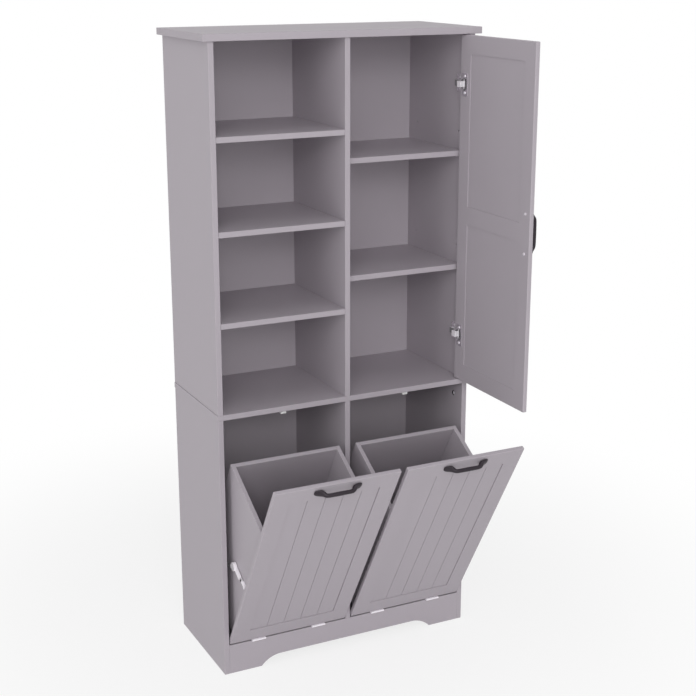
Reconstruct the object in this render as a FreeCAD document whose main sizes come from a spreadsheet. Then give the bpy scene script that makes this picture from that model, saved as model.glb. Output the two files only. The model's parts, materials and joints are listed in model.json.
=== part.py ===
import FreeCAD, Part
import Sketcher
import math
import os

# Tall tilt-out hamper cabinet, in millimetres and degrees.
# The origin is at the foot of the rear face, in the middle of the width: +Z is up, the front faces -Y.
# Every piece is built with the door and hampers shut. The pieces that move are then turned about
# their hinge axes to the pose they are shown in, with the door and both hampers open.

doc = FreeCAD.newDocument("tilt_out_hamper_cabinet")
sheet = doc.addObject("Spreadsheet::Sheet", "size")

DRIVING_SIZES = [
    # Carcass
    ("cabinet_height", 1750),
    ("carcass_width", 766),
    ("carcass_depth", 336),
    ("board", 15),
    ("top_board", 18),
    ("top_side_overhang", 16),
    ("top_front_overhang", 8.5),
    ("back_board", 4),
    ("mid_top", 763.5),
    ("mid_overhang", 2),
    ("edge_round", 1),
    ("apron_height", 87),
    ("apron_foot", 96),
    ("apron_cut", 27.5),
    ("apron_curve_run", 60),
    # Shelves and their pins
    ("left_shelf_rise", 249.7),
    ("left_shelf_drop", 235.2),
    ("right_shelf_rise", 332),
    ("right_shelf_drop", 316),
    ("right_shelf_setback", 28),
    ("shelf_gap", 0.5),
    ("shelf_pin_radius", 2.5),
    ("shelf_pin_hole", 7),
    ("shelf_pin_reach", 8),
    ("shelf_pin_inset", 50),
    ("spare_hole_rise", 69),
    # Dowels, cam fittings and back panel screws
    ("dowel_radius", 4),
    ("dowel_face_depth", 10),
    ("dowel_end_depth", 20),
    ("dowel_inset", 90),
    ("divider_dowel_inset", 130),
    ("cam_radius", 7.5),
    ("cam_depth", 12),
    ("cam_drop", 42),
    ("cam_inset", 47),
    ("cam_slot_length", 9),
    ("cam_slot_width", 1.8),
    ("cam_slot_depth", 2),
    ("cam_bolt_radius", 3),
    ("cam_bolt_bite", 10),
    ("back_screw_head", 3.5),
    ("back_screw_cone", 2.5),
    ("back_screw_shank", 1.5),
    ("back_screw_length", 18),
    ("back_screw_margin", 60),
    # Door and hamper fronts
    ("front_gap", 2),
    ("front_board", 12),
    ("front_round", 2),
    ("frame_width", 50),
    ("recess_depth", 2),
    ("groove_depth", 2),
    ("groove_width", 1.2),
    ("door_back_recess", 1.8),
    ("door_open_angle", 90),
    ("hamper_open_angle", 30.2),
    # Door hinges
    ("hinge_end", 131.5),
    ("hinge_pin_edge", 10.5),
    ("hinge_pin_depth", 7),
    ("hinge_pin_radius", 1.2),
    ("hinge_pin_length", 26.6),
    ("hinge_running_gap", 0.05),
    ("hinge_eye_radius", 2.7),
    ("cup_edge", 3),
    ("cup_radius", 17.5),
    ("cup_depth", 9.5),
    ("cup_wall", 1),
    ("flange_thickness", 1.2),
    ("flange_height", 62),
    ("flange_inner", 17),
    ("flange_outer", 13),
    ("cup_screw_edge", 25),
    ("cup_screw_spacing", 45),
    ("arm_strap", 2.4),
    ("arm_half_height", 8),
    ("finger_half_height", 8),
    ("hook_reach", 13),
    ("arm_standoff", 20.5),
    ("arm_length", 36),
    ("arm_thickness", 10),
    ("plate_thickness", 2),
    ("plate_standoff", 24),
    ("plate_length", 38),
    ("plate_height", 46),
    ("plate_screw_spacing", 32),
    # Wood screws with pan heads, on the door hinges
    ("pan_head_radius", 3.5),
    ("pan_head_height", 1.8),
    ("pan_shank_radius", 1.7),
    ("pan_shank_length", 8),
    # Pulls
    ("pull_spacing", 105),
    ("pull_foot_length", 29),
    ("pull_foot_width", 20),
    ("pull_foot_height", 7.5),
    ("pull_bar_radius", 5.9),
    ("pull_bar_length", 72),
    ("pull_standoff", 17),
    ("pull_leg_inset", 3),
    ("pull_drop", 20.5),
    ("door_pull_edge", 21.5),
    ("door_pull_height", 479),
    ("pull_screw_radius", 2),
    ("pull_screw_bite", 3.5),
    ("pull_screw_head", 4),
    ("pull_screw_head_height", 2),
    # Bins behind the hamper fronts
    ("bin_board", 12),
    ("bin_inset", 15.6),
    ("bin_lift", 10),
    ("bin_height", 448),
    ("bin_rear", 270.5),
    # Butt hinges under the hamper fronts
    ("butt_radius", 3),
    ("butt_pin_radius", 1.2),
    ("butt_length", 41),
    ("butt_inset", 65.6),
    ("butt_leaf", 0.7),
    ("butt_leaf_depth", 10),
    ("butt_clearance", 0.3),
    # Magnetic catches under the mid panel
    ("catch_length", 16),
    ("catch_depth", 20),
    ("catch_height", 11),
    ("catch_gap", 0.4),
    ("strike_length", 14),
    ("strike_height", 9),
    ("strike_drop", 2.8),
    ("strike_thickness", 0.8),
    # Stays that stop the hampers
    ("stay_pin_depth", 32),
    ("stay_pin_height", 311),
    ("stay_length", 108),
    ("stay_open_angle", 13),
    ("stay_shut_angle", 5),
    ("stay_crank", 16.7),
    ("stay_reach", 73),
    ("stay_width", 12),
    ("stay_strip", 2),
    ("stay_play", 0.2),
    ("stay_slot_place", 25.5),
    ("stay_slot_length", 9.5),
    ("stay_slot_width", 4.5),
    ("stay_bar_start", 29.5),
    ("stay_bar_width", 10),
    ("stay_bar_rise", 3),
    ("stay_bar", 7),
    ("stay_drum_radius", 12),
    ("stay_drum", 10),
    ("stay_tail_width", 9),
    ("stay_tail", 2),
    ("stay_pin_radius", 3),
    ("stay_head_radius", 5),
    ("stay_head", 1.2),
    ("stay_base_length", 32),
    ("stay_base_width", 16),
    ("stay_base", 1.5),
    ("slider_radius", 2.8),
    ("slider_clearance", 0.7),
    ("slider_wall_gap", 0.8),
    ("guide_wall", 2),
    ("guide_thickness", 5),
]
for row, (alias, number) in enumerate(DRIVING_SIZES, start=1):
    sheet.set(f"A{row}", alias)
    sheet.set(f"B{row}", str(number))
    sheet.setAlias(f"B{row}", alias)
doc.recompute()

nodes = []


# Placements, written as expressions on the sheet
def number(alias):
    return float(sheet.get(alias))


def vector(x, y, z):
    return f"create(<<vector>>; {x}; {y}; {z})"


def turn(axis, angle):
    return f"create(<<rotation>>; {vector(*axis)}; {angle})"


def at(x, y, z, rotation="create(<<rotation>>; 0; 0; 0; 1)"):
    return f"create(<<placement>>; {vector(x, y, z)}; {rotation})"


def turned_about(axis, angle, point):
    return f"create(<<placement>>; {vector(0, 0, 0)}; {turn(axis, angle)}; {vector(*point)})"


X_AXIS, Y_AXIS, Z_AXIS = (1, 0, 0), (0, 1, 0), (0, 0, 1)
POINTING = {
    "+x": turn(Y_AXIS, 90),
    "-x": turn(Y_AXIS, -90),
    "+y": turn(X_AXIS, -90),
    "-y": turn(X_AXIS, 90),
    "+z": turn(Z_AXIS, 0),
}


# Shapes, with every size bound to the sheet
def box(x, y, z):
    piece = doc.addObject("Part::Box", "block")
    for side, (low, high) in zip(("Length", "Width", "Height"), (x, y, z)):
        piece.setExpression(side, f"({high}) - ({low})")
    piece.setExpression("Placement", at(x[0], y[0], z[0]))
    return piece


def rod(start, pointing, radius, length):
    piece = doc.addObject("Part::Cylinder", "rod")
    piece.setExpression("Radius", radius)
    piece.setExpression("Height", length)
    piece.setExpression("Placement", at(*start, POINTING[pointing]))
    return piece


def cone(start, pointing, radius, end_radius, length):
    piece = doc.addObject("Part::Cone", "cone")
    piece.setExpression("Radius1", radius)
    piece.setExpression("Radius2", end_radius)
    piece.setExpression("Height", length)
    piece.setExpression("Placement", at(*start, POINTING[pointing]))
    return piece


def eased(piece, alias="edge_round"):
    soft = doc.addObject("Part::Fillet", "eased")
    soft.Base = piece
    radius = number(alias)
    soft.Edges = [(edge, radius, radius) for edge in range(1, 13)]
    return soft


def joined(*pieces):
    whole = doc.addObject("Part::MultiFuse", "joined")
    whole.Shapes = list(pieces)
    return whole


def group(pieces):
    together = doc.addObject("Part::Compound", "group")
    together.Links = list(pieces)
    return together


def cut(piece, tools):
    left = doc.addObject("Part::Cut", "cut")
    left.Base = piece
    left.Tool = group(tools)
    return left


def node(label, piece, placement=None):
    if placement:
        piece.setExpression("Placement", placement)
    piece.Label = label
    nodes.append(piece)
    return piece


def board(label, x, y, z, holes=(), placement=None):
    piece = eased(box(x, y, z))
    if holes:
        piece = cut(piece, holes)
    return node(label, piece, placement)


# Main planes of the carcass
HALF = "(size.carcass_width / 2)"
INNER = f"({HALF} - size.board)"
FRONT = "(-size.carcass_depth)"
REAR = "(-size.back_board)"
TOP_UNDER = "(size.cabinet_height - size.top_board)"
MID_UNDER = "(size.mid_top - size.board)"
SIDE_MIDDLE = f"({INNER} + size.board / 2)"
DIVIDER_FACE = "(size.board / 2)"
FLOOR_TOP = "size.apron_height"
DEPTH = (FRONT, REAR)

# Shelf pins, in holes of the sides and the divider
LEFT_SHELVES = ["left_shelf_low", "left_shelf_middle", "left_shelf_high"]
RIGHT_SHELVES = ["right_shelf_low", "right_shelf_high"]
PIN_ROWS = (f"({FRONT} + size.shelf_pin_inset)", f"({REAR} - size.shelf_pin_inset)")
PIN_LENGTH = "size.shelf_pin_hole + size.shelf_pin_reach"


# The lowest shelf stands its rise above the mid panel, the highest hangs its drop below the top,
# and any others are spaced evenly between them
def shelf_top(bay, level, count):
    low = f"(size.mid_top + size.{bay}_shelf_rise)"
    high = f"({TOP_UNDER} - size.{bay}_shelf_drop)"
    return f"({low} + {level} * ({high} - {low}) / {count - 1})"


def left_shelf_top(level):
    return shelf_top("left", level, len(LEFT_SHELVES))


def right_shelf_top(level):
    return shelf_top("right", level, len(RIGHT_SHELVES))


def pins_under(shelf_top, left_face, right_face, rise="0"):
    height = f"({shelf_top} - size.board - size.shelf_pin_radius + {rise})"
    pins = []
    for depth in PIN_ROWS:
        at_left = (f"{left_face} - size.shelf_pin_hole", depth, height)
        at_right = (f"{right_face} + size.shelf_pin_hole", depth, height)
        pins.append(rod(at_left, "+x", "size.shelf_pin_radius", PIN_LENGTH))
        pins.append(rod(at_right, "-x", "size.shelf_pin_radius", PIN_LENGTH))
    return pins


shelf_pins = []
spare_holes = []
for level in range(len(LEFT_SHELVES)):
    shelf_pins += pins_under(left_shelf_top(level), f"-{INNER}", f"-{DIVIDER_FACE}")
for level in range(len(RIGHT_SHELVES)):
    shelf_pins += pins_under(right_shelf_top(level), DIVIDER_FACE, INNER)
    spare_holes += pins_under(right_shelf_top(level), DIVIDER_FACE, INNER, "size.spare_hole_rise")
node("shelf_pins", group(shelf_pins))

# Dowels in the joints of the carcass
DOWEL_LENGTH = "size.dowel_face_depth + size.dowel_end_depth"
DOWEL_ROWS = (f"({FRONT} + size.dowel_inset)", f"({REAR} - size.dowel_inset)")
DIVIDER_ROWS = (f"({FRONT} + size.divider_dowel_inset)", f"({REAR} - size.divider_dowel_inset)")
APRON_MIDDLE = f"({FRONT} + size.board / 2)"
RAIL_MIDDLE = f"({REAR} - size.board / 2)"
FLOOR_UNDER = "(size.apron_height - size.board)"


def upright_dowel(x, y, start):
    return rod((x, y, start), "+z", "size.dowel_radius", DOWEL_LENGTH)


def level_dowels(y, z):
    start = f"{INNER} + size.dowel_face_depth"
    return [
        rod((f"-({start})", y, z), "+x", "size.dowel_radius", DOWEL_LENGTH),
        rod((start, y, z), "-x", "size.dowel_radius", DOWEL_LENGTH),
    ]


top_dowels = []
mid_dowels = []
for x in (f"-{SIDE_MIDDLE}", "0", SIDE_MIDDLE):
    for y in DOWEL_ROWS:
        top_dowels.append(upright_dowel(x, y, f"{TOP_UNDER} - size.dowel_end_depth"))
        mid_dowels.append(upright_dowel(x, y, "size.mid_top - size.dowel_face_depth"))
divider_top_dowels = [upright_dowel("0", y, f"{MID_UNDER} - size.dowel_end_depth") for y in DIVIDER_ROWS]
divider_foot_dowels = [upright_dowel("0", y, f"{FLOOR_TOP} - size.dowel_face_depth") for y in DIVIDER_ROWS]
floor_dowels = []
for y in DOWEL_ROWS:
    floor_dowels += level_dowels(y, f"{FLOOR_TOP} - size.board / 2")
apron_dowels = level_dowels(APRON_MIDDLE, "size.apron_height / 2")
rail_dowels = level_dowels(RAIL_MIDDLE, f"{FLOOR_UNDER} / 2")
low_side_dowels = floor_dowels + apron_dowels + rail_dowels
node("dowels", group(top_dowels + mid_dowels + divider_top_dowels + divider_foot_dowels + low_side_dowels))

# Cam locks in the heads of the lower sides, and the bolts that they draw down from the mid panel
CAM_ROWS = (f"({FRONT} + size.cam_inset)", f"({REAR} - size.cam_inset)")
CAM_HEIGHT = f"({MID_UNDER} - size.cam_drop)"
CAM_SLOT = "(size.cam_slot_length / 2)"
cams = []
cam_bodies = []
cam_bolts = []
for side, pointing in (("-1", "-x"), ("1", "+x")):
    face = f"{side} * {INNER}"
    slot_edge = f"{side} * ({INNER} + size.cam_slot_depth)"
    slot_x = (slot_edge, face) if side == "-1" else (face, slot_edge)
    for y in CAM_ROWS:
        body = rod((face, y, CAM_HEIGHT), pointing, "size.cam_radius", "size.cam_depth")
        across = (f"{y} - size.cam_slot_width / 2", f"{y} + size.cam_slot_width / 2")
        along = (f"{y} - {CAM_SLOT}", f"{y} + {CAM_SLOT}")
        thin = (f"{CAM_HEIGHT} - size.cam_slot_width / 2", f"{CAM_HEIGHT} + size.cam_slot_width / 2")
        tall = (f"{CAM_HEIGHT} - {CAM_SLOT}", f"{CAM_HEIGHT} + {CAM_SLOT}")
        cam_bodies.append(body)
        cams.append(cut(body, [joined(box(slot_x, across, tall), box(slot_x, along, thin))]))
        foot = f"{CAM_HEIGHT} + size.cam_radius"
        bolt_length = "size.cam_drop - size.cam_radius + size.cam_bolt_bite"
        cam_bolts.append(rod((f"{side} * {SIDE_MIDDLE}", y, foot), "+z", "size.cam_bolt_radius", bolt_length))
node("cam_locks", group(cams))
node("cam_bolts", group(cam_bolts))


# Countersunk screws that hold the back panels to the sides
def back_screws(low, high, count):
    screws = []
    step = f"(({high} - {low} - 2 * size.back_screw_margin) / {count - 1})"
    for side in ("-1", "1"):
        for place in range(count):
            start = (f"{side} * {SIDE_MIDDLE}", "0", f"{low} + size.back_screw_margin + {place} * {step}")
            head = cone(start, "-y", "size.back_screw_head", "size.back_screw_shank", "size.back_screw_cone")
            shank = rod(start, "-y", "size.back_screw_shank", "size.back_screw_length")
            screws.append(joined(head, shank))
    return screws


upper_back_screws = back_screws("size.mid_top", TOP_UNDER, 5)
lower_back_screws = back_screws("0", MID_UNDER, 4)
node("back_panel_screws", group(upper_back_screws + lower_back_screws))

# Door hinge axis, which stands inside the hinge cups
DOOR_LEFT = f"({DIVIDER_FACE} + size.front_gap)"
DOOR_RIGHT = f"({INNER} - size.front_gap)"
DOOR_LOW = "(size.mid_top + size.front_gap)"
DOOR_HIGH = f"({TOP_UNDER} - size.front_gap)"
FRONT_INSIDE = f"({FRONT} + size.front_board)"
HINGE_X = f"({DOOR_RIGHT} - size.hinge_pin_edge)"
HINGE_Y = f"({FRONT} + size.hinge_pin_depth)"
HINGE_HEIGHTS = (f"({DOOR_LOW} + size.hinge_end)", f"({DOOR_HIGH} - size.hinge_end)")
SWING = turned_about(Z_AXIS, "size.door_open_angle", (HINGE_X, HINGE_Y, 0))


def span(middle, half):
    return (f"{middle} - {half}", f"{middle} + {half}")


def pan_screw(seat, pointing, away):
    head = rod(seat, away, "size.pan_head_radius", "size.pan_head_height")
    shank = rod(seat, pointing, "size.pan_shank_radius", "size.pan_shank_length")
    return joined(head, shank)


# Hinge mounting plates on the right side, the arms that hook into the cups, and the pins
PLATE_FACE = f"({INNER} - size.plate_thickness)"
PLATE_Y = (f"{FRONT} + size.plate_standoff", f"{FRONT} + size.plate_standoff + size.plate_length")
ARM_FACE = f"({PLATE_FACE} - size.arm_thickness)"
ARM_Y = f"({FRONT} + size.arm_standoff)"
HOOK_X = f"({HINGE_X} - size.hook_reach)"
plates = []
plate_screws = []
arms = []
hinge_pins = []
for z in HINGE_HEIGHTS:
    finger_z = span(z, "size.finger_half_height")
    screws = []
    for up in ("-1", "1"):
        screw_z = f"{z} + {up} * size.plate_screw_spacing / 2"
        seat = (PLATE_FACE, f"{PLATE_Y[0]} + size.plate_length / 2", screw_z)
        screws.append(pan_screw(seat, "+x", "-x"))
    plate_screws += screws
    plates.append(cut(box((PLATE_FACE, INNER), PLATE_Y, span(z, "size.plate_height / 2")), screws))
    pin_foot = (HINGE_X, HINGE_Y, f"{z} - size.hinge_pin_length / 2")
    hinge_pins.append(rod(pin_foot, "+z", "size.hinge_pin_radius", "size.hinge_pin_length"))
    body = box((ARM_FACE, PLATE_FACE), (ARM_Y, f"{ARM_Y} + size.arm_length"), span(z, "size.arm_half_height"))
    across = box((HOOK_X, PLATE_FACE), (ARM_Y, f"{ARM_Y} + size.arm_strap"), finger_z)
    into_cup = box(
        (HOOK_X, f"{HOOK_X} + size.arm_strap"),
        (f"{HINGE_Y} - size.arm_strap / 2", f"{ARM_Y} + size.arm_strap"),
        finger_z,
    )
    to_eye = box((HOOK_X, HINGE_X), span(HINGE_Y, "size.arm_strap / 2"), finger_z)
    finger_height = "2 * size.finger_half_height"
    eye = rod((HINGE_X, HINGE_Y, finger_z[0]), "+z", "size.hinge_eye_radius", finger_height)
    bore = rod(pin_foot, "+z", "size.hinge_pin_radius + size.hinge_running_gap", "size.hinge_pin_length")
    arms.append(cut(joined(body, across, into_cup, to_eye, eye), [bore]))
node("hinge_mounting_plates", group(plates))
node("hinge_plate_screws", group(plate_screws))
node("door_hinge_arms", group(arms))
node("door_hinge_pins", group(hinge_pins), SWING)

# Hinge cups let into the back of the door, with the screws in their flanges
CUP_X = f"({DOOR_RIGHT} - size.cup_edge - size.cup_radius)"
FLANGE_FACE = f"({FRONT_INSIDE} + size.flange_thickness)"
cup_holes = []
cups = []
cup_screws = []
for z, pin in zip(HINGE_HEIGHTS, hinge_pins):
    mouth = (CUP_X, FLANGE_FACE, z)
    wall = rod((CUP_X, FRONT_INSIDE, z), "-y", "size.cup_radius", "size.cup_depth")
    hollow_depth = "size.flange_thickness + size.cup_depth - size.cup_wall"
    hollow = rod(mouth, "-y", "size.cup_radius - size.cup_wall", hollow_depth)
    flange = box(
        (f"{CUP_X} - size.flange_inner", f"{CUP_X} + size.flange_outer"),
        (FRONT_INSIDE, FLANGE_FACE),
        span(z, "size.flange_height / 2"),
    )
    screws = []
    for up in ("-1", "1"):
        screw_z = f"{z} + {up} * size.cup_screw_spacing / 2"
        screws.append(pan_screw((f"{DOOR_RIGHT} - size.cup_screw_edge", FLANGE_FACE, screw_z), "-y", "+y"))
    cup_holes.append(wall)
    cup_screws += screws
    cups.append(cut(joined(wall, flange), [hollow, pin] + screws))
node("door_hinge_cups", group(cups), SWING)
node("hinge_cup_screws", group(cup_screws), SWING)


# Bow pulls: a bent bar between two domed feet, with screws from behind
def pull(label, where, motion):
    half_bar = "size.pull_bar_length / 2"
    half_feet = "(size.pull_spacing / 2 - size.pull_leg_inset)"
    path = doc.addObject("Sketcher::SketchObject", "pull_path")
    corners = [
        (f"-{half_feet}", "0"),
        (f"-{half_bar}", "size.pull_standoff"),
        (half_bar, "size.pull_standoff"),
        (half_feet, "0"),
    ]
    START_POINT, END_POINT = 1, 2
    foot_x = number("pull_spacing") / 2 - number("pull_leg_inset")
    bend_x = number("pull_bar_length") / 2
    bend_y = number("pull_standoff")
    rough = [FreeCAD.Vector(-foot_x, 0), FreeCAD.Vector(-bend_x, bend_y),
             FreeCAD.Vector(bend_x, bend_y), FreeCAD.Vector(foot_x, 0)]
    for first, second in zip(rough, rough[1:]):
        path.addGeometry(Part.LineSegment(first, second))
    for line in (0, 1):
        path.addConstraint(Sketcher.Constraint("Coincident", line, END_POINT, line + 1, START_POINT))
    ends = [(0, START_POINT), (0, END_POINT), (1, END_POINT), (2, END_POINT)]
    for (line, point), (along, out), guess in zip(ends, corners, rough):
        for kind, expression, value in (("DistanceX", along, guess.x), ("DistanceY", out, guess.y)):
            index = path.addConstraint(Sketcher.Constraint(kind, -1, START_POINT, line, point, value))
            path.setExpression(f"Constraints[{index}]", expression)
    path.setExpression("Placement", at(0, 0, 0, turn(X_AXIS, 180)))
    section = doc.addObject("Part::Circle", "pull_section")
    section.setExpression("Radius", "size.pull_bar_radius")
    lean = f"atan2({half_feet} - {half_bar}; size.pull_standoff)"
    leg_start = at(f"-{half_feet}", 0, 0, turn(Z_AXIS, lean))
    section.setExpression("Placement", f"{leg_start} * {at(0, 0, 0, POINTING['-y'])}")
    bar = doc.addObject("Part::Sweep", "pull_bar")
    bar.Sections = [section]
    bar.Spine = (path, ["Edge1", "Edge2", "Edge3"])
    bar.Solid = True
    bar.Transition = "Round corner"
    feet = []
    screws = []
    for side in ("-1", "1"):
        x = f"{side} * size.pull_spacing / 2"
        dome = doc.addObject("Part::Ellipsoid", "pull_foot")
        dome.setExpression("Radius1", "size.pull_foot_width / 2")
        dome.setExpression("Radius2", "size.pull_foot_length / 2")
        dome.setExpression("Radius3", "size.pull_foot_height")
        dome.setExpression("Placement", at(x, 0, 0))
        feet.append(dome)
        tip = (x, "-size.pull_screw_bite", 0)
        shank = rod(tip, "+y", "size.pull_screw_radius", "size.pull_screw_bite + size.front_board")
        head = rod((x, "size.front_board", 0), "+y", "size.pull_screw_head", "size.pull_screw_head_height")
        screws.append(joined(shank, head))
    reach = "(size.pull_spacing + size.pull_foot_length)"
    outside = box((f"-{reach}", reach), (f"-{reach}", "0"), (f"-{reach}", reach))
    solid = doc.addObject("Part::MultiCommon", "pull_outside")
    solid.Shapes = [joined(bar, *feet), outside]
    holes = group(screws)
    holes.setExpression("Placement", where)
    node(label, cut(solid, screws), f"{motion} * {where}")
    node(f"{label}_screws", group(screws), f"{motion} * {where}")
    return holes


# Routed fronts: a frame round a shallow field that has upright grooves and a groove round its edge
def field_cuts(x, z, boards):
    floor = f"({FRONT} + size.recess_depth)"
    cuts = [box(x, (f"{FRONT} - size.recess_depth", floor), z)]
    groove_y = (FRONT, f"{floor} + size.groove_depth")
    pitch = f"(({x[1]} - {x[0]}) / {boards})"
    for seam in range(1, boards):
        cuts.append(box(span(f"{x[0]} + {seam} * {pitch}", "size.groove_width / 2"), groove_y, z))
    for edge in ((x[0], f"{x[0]} + size.groove_width"), (f"{x[1]} - size.groove_width", x[1])):
        cuts.append(box(edge, groove_y, z))
    for edge in ((z[0], f"{z[0]} + size.groove_width"), (f"{z[1]} - size.groove_width", z[1])):
        cuts.append(box(x, groove_y, edge))
    return [joined(*cuts)]


FIELD_BOARDS = 5

# Door: grooved fields outside, shallow plain fields inside, and between them a rail level with the pull
door_pull_place = at(
    f"{DOOR_LEFT} + size.door_pull_edge",
    FRONT,
    f"{DOOR_LOW} + size.door_pull_height",
    turn(Y_AXIS, 90),
)
door_pull_holes = pull("door_pull", door_pull_place, SWING)
field_x = (f"({DOOR_LEFT} + size.frame_width)", f"({DOOR_RIGHT} - size.frame_width)")
rail_low = f"({DOOR_LOW} + size.door_pull_height - size.frame_width / 2)"
field_heights = (
    (f"({DOOR_LOW} + size.frame_width)", rail_low),
    (f"({rail_low} + size.frame_width)", f"({DOOR_HIGH} - size.frame_width)"),
)
door_cuts = [door_pull_holes] + cup_holes + cup_screws
for field_z in field_heights:
    door_cuts += field_cuts(field_x, field_z, FIELD_BOARDS)
    inside = (f"{FRONT_INSIDE} - size.door_back_recess", f"{FRONT_INSIDE} + size.door_back_recess")
    door_cuts.append(box(field_x, inside, field_z))
door_blank = eased(box((DOOR_LEFT, DOOR_RIGHT), (FRONT, FRONT_INSIDE), (DOOR_LOW, DOOR_HIGH)), "front_round")
node("door_panel", cut(door_blank, door_cuts), SWING)

# Carcass boards
board("top_panel",
      (f"-({HALF} + size.top_side_overhang)", f"{HALF} + size.top_side_overhang"),
      (f"{FRONT} - size.top_front_overhang", "0"),
      (TOP_UNDER, "size.cabinet_height"), top_dowels)
left_x = (f"-{HALF}", f"-{INNER}")
right_x = (INNER, HALF)
divider_x = (f"-{DIVIDER_FACE}", DIVIDER_FACE)
upper_z = ("size.mid_top", TOP_UNDER)
upper_holes = top_dowels + mid_dowels + shelf_pins
board("upper_left_side", left_x, DEPTH, upper_z, upper_holes + upper_back_screws)
board("upper_right_side", right_x, DEPTH, upper_z,
      upper_holes + spare_holes + plate_screws + upper_back_screws)
board("upper_divider", divider_x, DEPTH, upper_z, upper_holes)
for level, label in enumerate(LEFT_SHELVES):
    top = left_shelf_top(level)
    board(label, (f"-{INNER} + size.shelf_gap", f"-{DIVIDER_FACE} - size.shelf_gap"), DEPTH,
          (f"{top} - size.board", top))
for level, label in enumerate(RIGHT_SHELVES):
    top = right_shelf_top(level)
    board(label, (f"{DIVIDER_FACE} + size.shelf_gap", f"{INNER} - size.shelf_gap"),
          (f"{FRONT} + size.right_shelf_setback", REAR), (f"{top} - size.board", top))
mid_x = (f"-({HALF} + size.mid_overhang)", f"{HALF} + size.mid_overhang")
board("mid_panel", mid_x, (FRONT, "0"), (MID_UNDER, "size.mid_top"),
      mid_dowels + divider_top_dowels + cam_bolts)
lower_z = ("0", MID_UNDER)
lower_holes = low_side_dowels + cam_bodies + cam_bolts + lower_back_screws
board("lower_left_side", left_x, DEPTH, lower_z, lower_holes)
board("lower_right_side", right_x, DEPTH, lower_z, lower_holes)
board("lower_divider", divider_x, DEPTH, (FLOOR_TOP, MID_UNDER), divider_top_dowels + divider_foot_dowels)
inside_x = (f"-{INNER}", INNER)
board("bottom_panel", inside_x, (f"{FRONT} + size.board", REAR), (FLOOR_UNDER, FLOOR_TOP),
      floor_dowels + divider_foot_dowels)
board("rear_plinth_rail", inside_x, (f"{REAR} - size.board", REAR), ("0", FLOOR_UNDER), rail_dowels)
back_x = (f"-{HALF}", HALF)
back_y = (REAR, "0")
node("upper_back_panel", cut(box(back_x, back_y, upper_z), upper_back_screws))
node("lower_back_panel", cut(box(back_x, back_y, lower_z), lower_back_screws))

# Apron: a low arch between two feet, with a round curve at each end
flat_half = f"({INNER} - size.apron_foot - size.apron_curve_run)"
curve_radius = "((size.apron_curve_run ^ 2 + size.apron_cut ^ 2) / (2 * size.apron_cut))"
apron_y = (FRONT, f"{FRONT} + size.board")
arch = [box((f"-{flat_half}", flat_half), apron_y, ("-size.board", "size.apron_cut"))]
for side in ("-1", "1"):
    middle = (f"{side} * {flat_half}", FRONT, f"size.apron_cut - {curve_radius}")
    arch.append(rod(middle, "+y", curve_radius, "size.board"))
apron_blank = eased(box(inside_x, apron_y, ("0", FLOOR_TOP)))
node("front_apron", cut(apron_blank, [joined(*arch)] + apron_dowels))

# Hamper hinge axis, along the joint between the apron and the fronts
FRONT_LOW = "(size.apron_height + size.front_gap)"
FRONT_HIGH = f"({MID_UNDER} - size.front_gap)"
TILT_Y = f"({FRONT} - size.butt_radius - size.butt_clearance)"
TILT_Z = "(size.apron_height + size.front_gap / 2)"
TILT = turned_about(X_AXIS, "size.hamper_open_angle", (0, TILT_Y, TILT_Z))
NEAR = f"({DIVIDER_FACE} + size.front_gap)"
FAR = f"({INNER} - size.front_gap)"


# Butt hinge: the leaf and its outer knuckles stay on the apron, the other leaf turns with the front
def butt_hinge(low):
    third = "(size.butt_length / 3)"
    leaf_x = (low, f"{low} + size.butt_length")
    leaf_y = (FRONT, f"{FRONT} + size.butt_leaf_depth")
    neck_y = (TILT_Y, FRONT)
    fixed_z = (FLOOR_TOP, f"{FLOOR_TOP} + size.butt_leaf")
    turning_z = (f"{FRONT_LOW} - size.butt_leaf", FRONT_LOW)
    ends = ((low, f"{low} + {third} - size.butt_clearance"),
            (f"{low} + 2 * {third} + size.butt_clearance", f"{low} + size.butt_length"))
    middle = (f"{low} + {third}", f"{low} + 2 * {third}")
    axis_start = (low, TILT_Y, TILT_Z)
    pin = rod(axis_start, "+x", "size.butt_pin_radius", "size.butt_length")
    running = rod(axis_start, "+x", "size.butt_pin_radius + size.hinge_running_gap", "size.butt_length")

    def knuckle(x):
        return rod((x[0], TILT_Y, TILT_Z), "+x", "size.butt_radius", f"({x[1]}) - ({x[0]})")

    fixed = [box(leaf_x, leaf_y, fixed_z)]
    for end in ends:
        fixed += [box(end, neck_y, fixed_z), knuckle(end)]
    turning = [box(leaf_x, leaf_y, turning_z), box(middle, neck_y, turning_z), knuckle(middle)]
    return cut(joined(*fixed), [pin]), pin, cut(joined(*turning), [running])


# Path of the stay's slider, from the shut hamper to the open one
def slider_point(share):
    tilt = math.radians(share * number("hamper_open_angle"))
    slope_range = number("stay_open_angle") - number("stay_shut_angle")
    slope = math.radians(number("stay_shut_angle") + share * slope_range)
    axis_y = -number("carcass_depth") - number("butt_radius") - number("butt_clearance")
    axis_z = number("apron_height") + number("front_gap") / 2
    arm_y = -number("carcass_depth") + number("stay_pin_depth") - axis_y
    arm_z = number("stay_pin_height") - axis_z
    y = axis_y + arm_y * math.cos(tilt) - arm_z * math.sin(tilt) + number("stay_length") * math.cos(slope)
    z = axis_z + arm_y * math.sin(tilt) + arm_z * math.cos(tilt) + number("stay_length") * math.sin(slope)
    return FreeCAD.Vector(0, y, z)


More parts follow.
